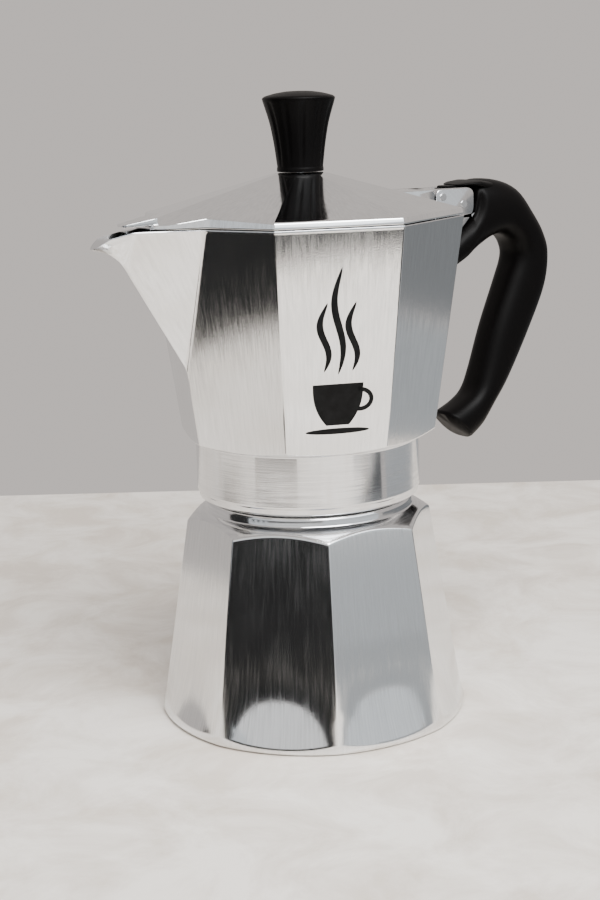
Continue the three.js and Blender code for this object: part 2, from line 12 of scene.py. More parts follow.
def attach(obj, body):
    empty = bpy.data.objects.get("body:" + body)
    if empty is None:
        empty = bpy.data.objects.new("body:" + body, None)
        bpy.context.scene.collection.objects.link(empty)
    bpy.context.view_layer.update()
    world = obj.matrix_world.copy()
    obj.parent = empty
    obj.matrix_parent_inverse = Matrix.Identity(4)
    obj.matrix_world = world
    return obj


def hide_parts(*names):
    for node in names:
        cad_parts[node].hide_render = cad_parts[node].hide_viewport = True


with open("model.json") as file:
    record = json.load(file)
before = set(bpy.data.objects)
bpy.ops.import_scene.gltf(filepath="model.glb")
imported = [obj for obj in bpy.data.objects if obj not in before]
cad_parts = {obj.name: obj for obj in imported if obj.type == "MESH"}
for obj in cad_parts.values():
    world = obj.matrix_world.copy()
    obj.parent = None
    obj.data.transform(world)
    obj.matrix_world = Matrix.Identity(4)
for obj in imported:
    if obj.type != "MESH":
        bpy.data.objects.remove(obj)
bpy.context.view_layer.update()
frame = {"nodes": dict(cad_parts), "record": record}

MM = 0.001


# ---------------------------------------------------------------- colours and shader nodes
def srgb(hex_colour):
    """Linear RGBA of an sRGB hex value such as '#c9cbcd'."""
    values = [int(hex_colour[i : i + 2], 16) / 255 for i in (1, 3, 5)]
    return [v / 12.92 if v <= 0.04045 else ((v + 0.055) / 1.055) ** 2.4 for v in values] + [1.0]


def new_material(name):
    """An empty node material and its Principled shader."""
    material = bpy.data.materials.new(name)
    material.use_nodes = True
    tree = material.node_tree
    return material, tree, tree.nodes["Principled BSDF"]


def fill(made, inputs):
    """Links each input socket, by name or index, to the output given for it, or sets its value."""
    for key, source in inputs.items():
        if isinstance(source, bpy.types.NodeSocket):
            made.id_data.links.new(source, made.inputs[key])
        else:
            made.inputs[key].default_value = source


def node(tree, kind, settings=None, inputs=None):
    """Adds a node with its settings and its inputs."""
    made = tree.nodes.new("ShaderNode" + kind)
    for key, value in (settings or {}).items():
        setattr(made, key, value)
    fill(made, inputs or {})
    return made


def object_place(tree):
    """Object coordinates, in metres from the centre of the pot's underside."""
    return node(tree, "TexCoord").outputs["Object"]


def two_tones(tree, pattern, low, low_colour, high, high_colour):
    """A colour that goes from one tone to another as the pattern goes from low to high."""
    tint = node(tree, "ValToRGB", inputs={"Fac": pattern})
    tint.color_ramp.elements[0].position, tint.color_ramp.elements[0].color = low, low_colour
    tint.color_ramp.elements[1].position, tint.color_ramp.elements[1].color = high, high_colour
    return tint.outputs[0]


def per_metre(size):
    """The scale of a pattern whose marks are size millimetres across."""
    return 1000 / size


# ---------------------------------------------------------------- curves and closed surfaces
TURN = 2 * np.pi
CORNER = TURN / 8


def smooth_min(a, b, blend):
    """The smaller of a and b, rounded off by a parabola where they differ by less than blend."""
    near = np.clip(1 - np.abs(a - b) / blend, 0, None)
    return np.minimum(a, b) - near**2 * blend / 4


def smooth_max(a, b, blend):
    """The larger of a and b, rounded off in the same way."""
    return -smooth_min(-a, -b, blend)


def bezier(points, t):
    """Bezier curve through its end points: Bernstein weights of the control points at t."""
    points = np.asarray(points, float)
    order = len(points) - 1
    weights = [math.comb(order, k) * t**k * (1 - t) ** (order - k) for k in range(order + 1)]
    return sum(w[..., None] * p for w, p in zip(weights, points))


def flowing(stations, t):
    """Catmull-Rom spline: a cubic through every station, leaving each along its neighbours."""
    stations = np.asarray(stations, float)
    last = len(stations) - 1
    place = np.clip(t, 0, 1) * last
    first = np.minimum(place.astype(int), last - 1)
    u = (place - first)[:, None]
    a, b, c, d = (stations[np.clip(first + k, 0, last)] for k in (-1, 0, 1, 2))
    rise, bend = (c - a) / 2, (d - b) / 2
    cubic, square = 2 * b - 2 * c + rise + bend, -3 * b + 3 * c - 2 * rise - bend
    return (cubic * u + square) * u**2 + rise * u + b


def rounded_outline(corners, steps=7):
    """A closed outline of rows (x, z, cut): each corner is replaced by a parabola that starts and
    ends cut millimetres from it."""
    corners = np.asarray(corners, float)
    point, cut = corners[:, :2], corners[:, 2:]
    before, after = np.roll(point, 1, axis=0) - point, np.roll(point, -1, axis=0) - point
    start = point + before / np.linalg.norm(before, axis=1, keepdims=True) * cut
    end = point + after / np.linalg.norm(after, axis=1, keepdims=True) * cut
    t = np.linspace(0, 1, steps)[None, :, None]
    return ((1 - t) ** 2 * start[:, None] + 2 * t * (1 - t) * point[:, None]
            + t**2 * end[:, None]).reshape(-1, 2)


def octagon(angle, corner_radius, rounding):
    """Distance from the axis to an octagon with a corner at angle 0. Its flats are at a constant
    distance across, and each corner is an arc of the given radius that touches both flats."""
    off_corner = np.abs((angle + CORNER / 2) % CORNER - CORNER / 2)
    across = corner_radius * math.cos(CORNER / 2)
    flat = across / np.cos(CORNER / 2 - off_corner)
    centre = (across - rounding) / math.cos(CORNER / 2)
    sideways = centre * np.sin(off_corner)
    arc = centre * np.cos(off_corner) + np.sqrt(np.clip(rounding**2 - sideways**2, 0, None))
    touch = np.arctan2(rounding * math.sin(CORNER / 2), centre + rounding * math.cos(CORNER / 2))
    return np.where(off_corner < touch, arc, flat)


def polar(angle, radius, z):
    """Points (x, y, z) from angle, radius and height, whose shapes combine."""
    angle, radius, z = np.broadcast_arrays(angle, radius, z)
    return np.stack([radius * np.cos(angle), radius * np.sin(angle), z], axis=-1)


def ring_rows(profile, angle):
    """Rows of a turned surface: each (radius, height) of the profile taken round all the angles."""
    profile = np.asarray(profile, float)
    return polar(angle[None, :], profile[:, :1], profile[:, 1:])


def plate(outline, low, high, rounding):
    """A plate across Y with rounded edges: the outline (x, z) at each y, moved inwards by
    rounding * (1 - sin a) where y is rounding * (1 - cos a) from a face, and closed in the
    middle."""
    outline = np.asarray(outline, float)
    along = np.roll(outline, -1, axis=0) - np.roll(outline, 1, axis=0)
    along /= np.maximum(np.linalg.norm(along, axis=1, keepdims=True), 1e-9)
    following = np.roll(outline, -1, axis=0)
    area = np.sum(outline[:, 0] * following[:, 1] - following[:, 0] * outline[:, 1])
    inward = np.stack([-along[:, 1], along[:, 0]], axis=1) * np.sign(area)
    a = np.radians([0, 22, 45, 67, 90])
    depth = np.concatenate([low + rounding * (1 - np.cos(a)),
                            high - rounding * (1 - np.cos(a[::-1]))])
    inset = np.concatenate([rounding * (1 - np.sin(a)), rounding * (1 - np.sin(a[::-1]))])
    flat = outline[None] + inward[None] * inset[:, None, None]
    middle = np.broadcast_to(outline.mean(axis=0), (1, *outline.shape))
    flat = np.concatenate([middle, flat, middle])
    y = np.concatenate([[low], depth, [high]])[:, None] + np.zeros(len(outline))
    return np.stack([flat[..., 0], y, flat[..., 1]], axis=-1)


def make_piece(name, surfaces, materials, body, replaced=(), sharp=40):
    """Joins closed surfaces into one piece. A surface is an array rows x columns x 3 in
    millimetres whose columns close round, or (array, material number of each row). Rows that
    shrink to a point close its ends, or else its last row is joined to its first."""
    points, faces, numbers, first = [], [], [], 0
    for surface in surfaces:
        grid, number = surface if isinstance(surface, tuple) else (surface, 0)
        rows, columns = grid.shape[:2]
        closed = np.ptp(grid[0], axis=0).max() > 1e-6
        row = np.arange(rows if closed else rows - 1)[:, None]
        column = np.arange(columns)[None, :]
        beside, above = (column + 1) % columns, (row + 1) % rows
        quads = [row * columns + column, row * columns + beside,
                 above * columns + beside, above * columns + column]
        faces.append(first + np.stack(quads, axis=-1).reshape(-1, 4))
        numbers.append(np.repeat(np.broadcast_to(number, rows)[: len(row)], columns))
        points.append(grid.reshape(-1, 3) * MM)
        first += rows * columns
    mesh = bpy.data.meshes.new(name)
    mesh.from_pydata(np.concatenate(points).tolist(), [], np.concatenate(faces).tolist())
    mesh.polygons.foreach_set("material_index", np.concatenate(numbers).astype(np.int32))
    for material in materials:
        mesh.materials.append(material)
    shell = bmesh.new()
    shell.from_mesh(mesh)
    bmesh.ops.remove_doubles(shell, verts=shell.verts, dist=1e-6)
    bmesh.ops.recalc_face_normals(shell, faces=shell.faces)
    shell.to_mesh(mesh)
    shell.free()
    mesh.shade_smooth()
    mesh.set_sharp_from_angle(angle=math.radians(sharp))
    piece = bpy.data.objects.new(name, mesh)
    bpy.context.collection.objects.link(piece)
    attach(piece, body)
    if replaced:
        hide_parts(*replaced)
    return piece


BRUSHED, TURNED, CAST = 0, 1, 2  # material numbers of the two big castings

# Angles from a corner to the middle of the next flat, close together near the corner.
OFF_CORNER = np.radians([0, 0.16, 0.32, 0.5, 0.8, 1.6, 3, 5.5, 8.5, 11.5, 14.5, 17.5, 20, 22.5])
ROUND_CORNER = np.concatenate([-OFF_CORNER[:0:-1], OFF_CORNER[:-1]])


# ---------------------------------------------------------------- boiler
BOILER_TURN = math.radians(17.15)
BOILER_ANGLES = (BOILER_TURN + CORNER * np.arange(8)[:, None] + ROUND_CORNER).ravel()
BOILER_FOOT, BOILER_TAPER = 53, 0.1615  # corner radius at z = 0, and its fall per mm of height
SHOULDER_RADIUS, SHOULDER_Z, SHOULDER_SLOPE = 42, 68.1, 0.58
THREAD_PITCH = 3.5


def boiler_side(z):
    """Radius of the boiler's side: an octagon that narrows with height, blended into the round
    foot by the square of what is left of the lowest 24 mm."""
    corner = BOILER_FOOT - BOILER_TAPER * z
    flats = octagon(BOILER_ANGLES - BOILER_TURN, corner, 0.9)
    return flats + (corner - flats) * np.clip(1 - z / 24, 0, 1) ** 2


def shoulder_radius(z):
    """The turned shoulder is a cone: the radius falls 1 mm for every 0.58 mm of height."""
    return SHOULDER_RADIUS + (SHOULDER_Z - z) / SHOULDER_SLOPE


def thread(radius, start, turns, rod):
    """A round rod along a helix, sinking into the wall at both ends."""
    t = np.linspace(0, 1, 180)[:, None]
    around = np.linspace(0, TURN, 8, endpoint=False)[None, :]
    size = rod * np.sqrt(np.clip(np.minimum(t, 1 - t) / 0.03, 0, 1))
    return polar(TURN * turns * t, radius + size * np.cos(around) - (rod - size),
                 start + THREAD_PITCH * turns * t + size * np.sin(around))


def make_boiler():
    """One closed surface of rows round the axis: the base, the foot (a quarter ellipse), the side
    (the lower of octagon and shoulder cone), the cone, and the turned neck and inside."""
    flat = octagon(BOILER_ANGLES - BOILER_TURN, SHOULDER_RADIUS, 0.9) / SHOULDER_RADIUS
    crease = ((SHOULDER_RADIUS + SHOULDER_Z / SHOULDER_SLOPE - BOILER_FOOT * flat)
              / (1 / SHOULDER_SLOPE - BOILER_TAPER * flat))
    a = np.radians([0, 20, 40, 60, 78, 90])[:, None]
    foot = polar(BOILER_ANGLES, boiler_side(1.6) - 1.6 * (1 - np.sin(a)), 1.6 * (1 - np.cos(a)))
    t = np.concatenate([np.linspace(0.03, 0.34, 10), np.linspace(0.4, 0.97, 9)])[:, None]
    rise = np.array([-1.2, -0.8, -0.5, -0.3, -0.15, 0, 0.15, 0.3, 0.5, 0.8, 1.1])[:, None]
    z = np.concatenate([1.6 + (crease - 1.6) * t, crease + rise])
    side = polar(BOILER_ANGLES, smooth_min(boiler_side(z), shoulder_radius(z), 0.9), z)
    u = np.array([0.25, 0.5, 0.75, 1.0])[:, None]
    start = shoulder_radius(crease + 1.1)
    radius = start + (35.7 - start) * u
    cone = polar(BOILER_ANGLES, radius, SHOULDER_Z + (SHOULDER_RADIUS - radius) * SHOULDER_SLOPE)
    neck = ring_rows([
        (35.35, 72.0), (35.2, 72.3), (35.2, 73.9), (35.1, 74.25), (34.65, 75.0), (34.4, 75.3),
        (34.1, 75.42),
        (33.6, 75.45), (33.4, 75.7), (33.4, 86), (33.3, 86.5), (32.9, 86.9), (32.4, 87), (31.5, 87),
        (31.25, 86.85), (31.2, 86.5), (31.2, 70.4), (31.45, 69.5), (35.2, 63), (35.8, 61.5),
        (42.4, 24), (46.3, 6.2), (46.1, 4.3), (44, 3.1), (40, 3), (20, 3), (0, 3),
    ], BOILER_ANGLES)
    base = ring_rows([(0, 0), (20, 0), (40, 0)], BOILER_ANGLES)
    rows = np.concatenate([base, foot, side, cone, neck])
    number = np.full(len(rows), TURNED)
    number[: len(base) + len(foot) + len(side) - 6] = BRUSHED
    number[-11:] = CAST
    make_piece("boiler_casting", [(rows, number), (thread(33.4, 77.6, 1.8, 0.9), TURNED)],
               [brushed_up, turned, as_cast], "boiler", ["boiler"])


# ---------------------------------------------------------------- upper chamber
RIM_Z = 168.9
CHAMBER_FOOT, CHAMBER_FOOT_Z, CHAMBER_FLARE = 43.5, 97.8, 0.14346
SPOUT_SIDE = np.array([-47.41, 15.19])  # where the spout's side leaves the rim
SPOUT_FOOT = np.array([-47.17, 123.35])  # x and z where its ridge leaves the corner
RIDGE_SLOPE = -1.6298
SIDES_MEET = -75.12

LIP_T = np.linspace(0, 1, 240)
LIP_UNDER = bezier([(-68, 157.3), (-71.3, 162.8), (-79.3, 164)], LIP_T)
LIP_TOP = bezier([(-68, 168.9), (-74, 169.5), (-76.4, 168.7), (-79.3, 164.6)], LIP_T)[:, 1]


def spout_low(x):
    """Height of the spout's lowest line: the straight ridge, then the curve under the lip."""
    ridge = SPOUT_FOOT[1] + (x - SPOUT_FOOT[0]) * RIDGE_SLOPE
    lip = np.interp(-x, -LIP_UNDER[:, 0], LIP_UNDER[:, 1], right=400)
    return np.where(x > -68, ridge, lip)


def spout_top(x):
    """Height of the spout's rim, which drops towards the tip of the lip."""
    return np.where(x > -68, RIM_Z, np.interp(-x, -LIP_UNDER[:, 0], LIP_TOP))


def spout_half_width(x, z, inset):
    """Half width at x and height z. From the lowest line to the rim it grows as share ** power:
    in proportion on the flat sides, and as a rounded U at the lip. inset is the wall thickness."""
    t = np.interp(-x, -LIP_UNDER[:, 0], LIP_T)
    power = 1 - 0.5 * t
    along = np.clip((-68.5 - x) / 11.2, 0, 1)
    straight = SPOUT_SIDE[1] * (x - SIDES_MEET) / (SPOUT_SIDE[0] - SIDES_MEET)
    to_lip = np.clip((-66 - x) / 5, 0, 1)
    to_lip = to_lip**2 * (3 - 2 * to_lip)
    width = straight * (1 - to_lip) + 4.7 * np.sqrt(1 - along**2) * to_lip
    width = width - inset * (0.6 + 0.4 * (2 * power - 1))
    low = spout_low(x) + inset * (0.7 + 1.5 * (2 * power - 1))
    share = np.clip((z - low) / np.maximum(spout_top(x) - low, 0.4), 0, 1)
    soft = 0.35 / 45
    return width * (np.sqrt(share * (share + 2 * soft)) / math.sqrt(1 + 2 * soft)) ** power


def spout_reach(off, z, inset, rim=False):
    """Distance from the axis to the spout's surface, at angle off from its middle and height z:
    found by halving, 30 times, the range in which the half width stops covering the point."""
    near, far = np.full(np.broadcast(off, z).shape, 30.0), np.full(np.broadcast(off, z).shape, 79.3)
    for _ in range(30):
        reach = (near + far) / 2
        x = -reach * np.cos(off)
        height = spout_top(x) if rim else z
        inside = (reach * np.abs(np.sin(off)) < spout_half_width(x, height, inset)) & (x < -20)
        near, far = np.where(inside, reach, near), np.where(inside, far, reach)
    return near


def chamber_corner(z):
    """Corner radius of the octagonal body, which widens upwards."""
    return CHAMBER_FOOT + CHAMBER_FLARE * (z - CHAMBER_FOOT_Z)


def chamber_angles(z):
    """Angle of every column at nominal height z, measured from the spout's middle. Columns follow
    the line where the spout's side meets the facet, so that this edge stays crisp."""
    share = np.clip((z - SPOUT_FOOT[1]) / (RIM_Z - SPOUT_FOOT[1]), 0, None)
    edge = np.arctan2(SPOUT_SIDE[1] * share, -SPOUT_FOOT[0] + 0.24 * share)
    edge = np.hypot(edge, math.radians(0.7))[:, None]
    spout = np.array([0, 0.015, 0.03, 0.05, 0.075, 0.1, 0.13, 0.165, 0.2, 0.24, 0.3, 0.38, 0.48,
                      0.6, 0.72, 0.83, 0.91, 0.955, 0.98, 1])
    facet = np.array([0.012, 0.03, 0.08, 0.18, 0.32, 0.46, 0.6, 0.74, 0.86, 0.93, 0.965, 0.982,
                      0.99, 0.995])
    far = (CORNER * np.array([1, 2, 3])[:, None] + ROUND_CORNER).ravel()
    far = far[far > CORNER - 1e-9]
    last = 4 * CORNER + ROUND_CORNER[ROUND_CORNER <= 0]
    fixed = np.concatenate([far, last])
    half = np.concatenate([edge * spout, edge + (CORNER - edge) * facet,
                           np.broadcast_to(fixed, (len(z), len(fixed)))], axis=1)
    return np.concatenate([half, -half[:, -2:0:-1]], axis=1)


def make_upper_chamber():
    """Rows round the axis: the collar and its bore, the ledge (a cone), the side (the farther of
    octagon and spout), the rim, the inside at one wall thickness, and the floor and chimney. The
    lug's two ears and the core between them are plates."""
    start, slope = (37.9, 95.8), 0.357
    nominal = np.concatenate([[97.0] * 7, np.linspace(98.5, 150, 22), np.linspace(152, RIM_Z, 26)])
    off = chamber_angles(nominal)
    factor = octagon(off, CHAMBER_FOOT, 0.9) / CHAMBER_FOOT
    crease = ((start[0] - start[1] / slope - factor * chamber_corner(0))
              / (CHAMBER_FLARE * factor - 1 / slope))
    rim_reach = np.maximum(spout_reach(off, RIM_Z, 0.0, rim=True),
                           octagon(off, chamber_corner(RIM_Z), 0.9))
    top = spout_top(-rim_reach * np.cos(off))
    share = ((nominal - 97) / (RIM_Z - 97))[:, None]
    z = crease + (top - crease) * share
    z[:7] = crease[:7] + np.array([-0.5, -0.3, -0.15, 0, 0.15, 0.3, 0.5])[:, None]
    body = octagon(off, chamber_corner(z), 0.9)
    spout = spout_reach(off, z, 0.0)
    outer = smooth_max(body, spout, 0.5)
    outer = smooth_min(outer, start[0] + (z - start[1]) / slope, 0.7)

    wall = np.interp(nominal, [97, 157, RIM_Z], [1.9, 1.9, 1.5])[:, None]
    inner_z = np.maximum(z, 103)
    inner = smooth_max(octagon(off, chamber_corner(inner_z) - 2.8, 2.5),
                       spout_reach(off, inner_z, wall), 0.8)
    inner = np.minimum(inner, outer - 0.8)
    keep = nominal > 103

    def pot(angle_off, radius, height):
        """Points at angles counted from the spout's middle."""
        return polar(math.pi + angle_off, radius, height)

    low_off = off[:1]
    profile_under = [
        (0, 146), (4.0, 146), (4.2, 145.7), (4.2, 103.2), (4.8, 102.2), (12, 98.4), (29.6, 92.8),
        (30.4, 92.7),
        (35.3, 92.7), (35.6, 92.4), (35.6, 76.3), (35.8, 76.02), (36.45, 76), (36.75, 76.15),
        (37.2, 76.6),
        (37.3, 76.9), (37.3, 77.9), (37.4, 78.2), (37.75, 78.6), (37.9, 78.9), (37.9, 79.4),
        (37.9, 95.3),
        (37.95, 95.6), (38.15, 95.85),
    ]
    under = np.concatenate([pot(low_off, r, h) for r, h in profile_under])
    ledge_end = start[0] + (z[:1] - start[1]) / slope
    ledge = np.concatenate([pot(low_off, start[0] + (ledge_end - start[0]) * u,
                                start[1] + (z[:1] - start[1]) * u) for u in (0.4, 0.7, 0.9)])
    side = pot(off[:-1], outer[:-1], z[:-1])
    edge_off, edge_out, edge_in, edge_z = off[-1:], outer[-1:], inner[-1:], z[-1:]
    rim = np.concatenate([pot(edge_off, edge_out - a, edge_z - b) for a, b in
                          [(0, 0.3), (0.09, 0.09), (0.3, 0)]]
                         + [pot(edge_off, edge_in + a, edge_z - b) for a, b in
                            [(0.3, 0), (0.09, 0.09), (0, 0.3)]])
    inside = pot(off[keep][:-1], inner[keep][:-1], inner_z[keep][:-1])[::-1]
    floor = np.concatenate([
        pot(low_off, octagon(low_off, 40.6, 3.0), 101.2),
        pot(low_off, octagon(low_off, 38.6, 5.0), 99.4),
        pot(low_off, octagon(low_off, 36.5, 8.0), 99.0),
    ] + [pot(low_off, r, h) for r, h in [
        (30, 101.1), (20, 104.1), (12, 106.5), (9.4, 107.5), (8.6, 108.4), (7.2, 111.5),
        (6.95, 113), (6.4, 138),
        (6.4, 145), (6.4, 149.6), (6.2, 150.4), (5.4, 151.2), (4.6, 151.6), (0, 151.6)]])
    rows = np.concatenate([under, ledge, side, rim, inside, floor])
    rim_start = len(under) + len(ledge) + len(side)
    number = np.full(len(rows), BRUSHED)
    number[: len(under) + 3] = TURNED
    number[: len(under) - 14] = CAST
    number[rim_start - 1 : rim_start + 5] = TURNED
    number[-len(floor) - len(inside) :] = CAST

    lug_outline = rounded_outline([
        (46, 150.5, 1), (52, 151, 1), (66.4, 162.4, 5), (70, 166.5, 2.2), (70, 175, 3.4),
        (52.7, 175, 2.4), (52.7, 169.2, 0.5), (46, 168, 1),
    ])
    core_outline = rounded_outline([
        (46, 150.5, 1), (52, 151, 1), (66.4, 162.4, 3), (67.5, 164.4, 0.6), (46, 164.4, 1),
    ])
    ears = [plate(lug_outline, low, high, 0.45) for low, high in ((-7, -3.3), (3.3, 7))]
    make_piece("upper_chamber_casting",
               [(rows, number), (thread(35.6, 78.6, 1.8, -0.9), CAST)]
               + [(part, TURNED) for part in [*ears, plate(core_outline, -3.6, 3.6, 0.2)]],
               [brushed_up, turned, as_cast], "upper", ["upper_chamber"])


# ---------------------------------------------------------------- lid
LID_APEX_Z, LID_SLOPE = 183.6, 0.27582


def roof(x, y):
    """Height of the lid's top: the lowest of eight planes that fall from the flat middle, raised
    to the two gentler planes of the gable over the spout."""
    angle = (np.arange(8)[:, None, None] + 0.5) * CORNER
    across = x * np.cos(angle) + y * np.sin(angle)
    planes = LID_APEX_Z - (across / math.cos(CORNER / 2) - 8) * LID_SLOPE
    planes = np.sort(planes, axis=0)
    facets = smooth_min(planes[0], planes[1], 0.12)
    gable = np.where(np.abs(y) < -x, 185.81 + 0.2388 * x - 0.1513 * np.sqrt(y**2 + 0.3), 0)
    return smooth_min(smooth_max(facets, gable, 0.08), LID_APEX_Z, 0.15)


def make_lid():
    """The roof's height over a plan that is an octagon joined to the gable's nose, with a
    sloping edge and a hollow below, then the hood, the hinge arm and its tongue as plates."""
    angle = np.concatenate([(CORNER * np.arange(8)[:, None] + ROUND_CORNER).ravel(),
                            math.pi + np.radians([-17.9, -17.6, -17.2, -9.6, -9.3, -5.2, -4.9,
                                                  4.9, 5.2, 9.3, 9.6, 17.2, 17.6, 17.9])])
    angle = np.sort(angle % TURN)[None, :]
    cos, sin = np.cos(angle), np.abs(np.sin(angle))
    reach = octagon(angle, 53.5, 0.6)
    behind = np.where(cos < -0.5, -cos, np.inf)
    slant = SPOUT_SIDE[1] / (SPOUT_SIDE[0] - SIDES_MEET)
    along_side = -slant * SIDES_MEET / (sin + slant * -cos)
    nose = np.minimum(60.5 / behind, (9.93 + 57 * 1.3514) / (sin + 1.3514 * -cos))
    nose = np.where(cos < -0.5, np.minimum(along_side, nose), 0)
    reach = np.maximum(reach, nose)
    reach = np.where((cos > 0.9) & (reach * cos > 51.9), 51.9 / cos, reach)

    def at(distance, drop=0.0):
        """Points on the roof, or drop millimetres under it."""
        x, y = distance * np.cos(angle), distance * np.sin(angle)
        return np.stack([x, y, roof(x, y) - drop], axis=-1)

    def edge(inset, z):
        """A row that runs round the plan, inset millimetres inside it."""
        return polar(angle, reach - inset, z)

    share = np.array([0.0, 0.06, 0.1, 0.14, 0.17, 0.25, 0.4, 0.55, 0.7, 0.82, 0.91, 0.97])[:, None]
    upper = at(2.3 + (reach - 0.8 - 2.3) * share)
    z_edge = roof(reach * np.cos(angle), reach * np.sin(angle))
    shoulder = np.concatenate([at(reach - 0.75), at(reach - 0.6, 0.03), at(reach - 0.5, 0.1),
                               edge(0.43, z_edge - 0.22), edge(0.03, 169.75 + 0 * z_edge),
                               edge(0, 169.5 + 0 * z_edge), edge(0.08, 169.27 + 0 * z_edge),
                               edge(0.3, 169.2 + 0 * z_edge)])
    hollow = octagon(angle, 51.0, 0.6)
    under = np.concatenate([polar(angle, hollow, 169.2), polar(angle, hollow - 0.3, 169.6)]
                           + [polar(angle, np.minimum(hollow * s, hollow - 0.5),
                                    181.8 - (51 * s - 8) * 0.28372)
                              for s in (0.97, 0.8, 0.6, 0.4, 0.2)]
                           + [polar(angle, 2.3, 181.8)])
    plate_rows = np.concatenate([upper, shoulder, under])
    number = np.zeros(len(plate_rows), int)
    number[-len(under) :] = 1

    hood = hood_surface()
    arm = plate(rounded_outline([(34, 174.9, 0.05), (44, 172, 1), (51.9, 170.4, 0.4),
                                 (51.9, 175.2, 0.8), (34, 175.2, 0.05)]), -7, 7, 0.4)
    tongue = plate(rounded_outline([(47, 171, 0.5), (54, 169.3, 1), (58.4, 169.5, 2.4),
                                    (58.6, 174.6, 2.4), (54, 175.2, 1), (47, 175.2, 0.5)]),
                   -2.95, 2.95, 0.3)
    make_piece("lid_casting", [(plate_rows, number), hood, arm, tongue], [mirror_polished, as_cast],
               "lid", ["lid"])


def hood_surface():
    """The hood over the spout's lip: square sections with rounded corners along X, whose half
    width, top and bottom narrow in straight lines to the blunt front."""
    x = np.array([-58.3, -58.4, -58.7, -60, -62, -64, -66, -67.6, -68.4, -68.9, -69.1])[:, None]
    size = np.array([0.9, 0.97, 1, 1, 1, 1, 1, 1, 1, 0.9, 0.7])[:, None]
    half = np.interp(-x, [58.3, 68.4, 69.1], [5.0, 2.9, 1.9]) * size
    top = np.interp(-x, [58.3, 68.4, 69.1], [172.9, 171.2, 171.0])
    low = np.interp(-x, [58.3, 69.1], [170.35, 170.4])
    around = np.linspace(0, TURN, 48, endpoint=False)[None, :]
    y = half * squared(np.cos(around), 0.16)
    z = (low + top) / 2 + (top - low) / 2 * size * squared(np.sin(around), 0.16)
    rows = np.stack([x + 0 * y, y, z], axis=-1)
    ends = [np.broadcast_to(row.mean(axis=1, keepdims=True), row.shape)
            for row in (rows[:1], rows[-1:])]
    return np.concatenate([ends[0], rows, ends[1]])


# ---------------------------------------------------------------- knob
def make_knob():
    """A turned profile whose radius falls by up to 0.38 mm in twelve narrow flutes. The wave is
    three times the size of the cosine of six times the angle, less two, kept between 0 and 1,
    and squared."""
    low = 183.9
    profile = rounded_profile([
        (0, 14, 0.1), (3.7, 13, 0.2), (3.7, 0, 0.1), (7.7, 0, 0.25), (7.7, 1.1, 0.25),
        (7.55, 1.5, 0.2),
        (8.45, 9, 3), (9.7, 16, 3), (11.85, 22.9, 0.6), (12.0, 23.7, 0.4), (11.2, 24.3, 0.5),
        (8, 25.2, 1.5), (4, 25.8, 1.5), (0, 25.9, 0.5),
    ])
    angle = np.linspace(0, TURN, 240, endpoint=False)[None, :]
    radius, z = profile[:, :1], profile[:, 1:]
    outside = (np.arange(len(profile)) > len(profile) * 0.35)[:, None]
    length = np.clip((z - 2.2) / 2, 0, 1) * np.clip((23.0 - z) / 1.6, 0, 1)
    wave = np.clip(np.abs(np.cos(angle * 6)) * 3 - 2, 0, 1) ** 2
    radius = radius - outside * length * 0.38 * wave * (radius > 6)
    make_piece("fluted_knob", [polar(angle, radius, low + z)], [moulded], "lid", ["knob"])


def rounded_profile(corners, steps=5):
    """An open profile of rows (radius, height, cut) with its inner corners rounded."""
    corners = np.asarray(corners, float)
    point, cut = corners[1:-1, :2], corners[1:-1, 2:]
    before, after = corners[:-2, :2] - point, corners[2:, :2] - point
    start = point + before / np.linalg.norm(before, axis=1, keepdims=True) * cut
    end = point + after / np.linalg.norm(after, axis=1, keepdims=True) * cut
    t = np.linspace(0, 1, steps)[None, :, None]
    middle = (1 - t) ** 2 * start[:, None] + 2 * t * (1 - t) * point[:, None] + t**2 * end[:, None]
    return np.concatenate([corners[:1, :2], middle.reshape(-1, 2), corners[-1:, :2]])


# ---------------------------------------------------------------- handle
# Outer edge (x, z), inner edge (x, z) and half thickness along the grip, from the root under the
# hinge to the free end.
GRIP = [
    (51.6, 150.3, 50.6, 141.2, 7.6), (57.5, 155.1, 56, 144.0, 8.3), (64.3, 160.4, 62, 147.0, 9.0),
    (69.4, 164.6, 66.4, 149.2, 9.4), (71.0, 170.5, 70.2, 151.4, 9.5),
    (73.2, 176.6, 74.8, 153.8, 9.5),
    (83, 176.8, 79.7, 156.2, 9.5), (92.4, 173.2, 85, 157.2, 9.2), (100.1, 164.7, 89.3, 155.4, 8.7),
    (105.6, 157, 91.6, 152.2, 8.3), (108.3, 149, 91.9, 147.8, 8.1), (106.8, 136.9, 88.3, 139.8, 8),
    (99.0, 121.2, 81.3, 124.2, 7.7), (88.8, 104.7, 75.7, 108.3, 7.4),
    (81.4, 95.6, 72.8, 101.8, 7.4),
    (76.1, 88.8, 67.8, 98.3, 7.4), (71.0, 84.9, 60.4, 95.2, 7.4),
]


def squared(value, power):
    """Keeps the sign of value and raises its size to a power: under 1 it squares a circle."""
    return np.sign(value) * np.abs(value) ** power


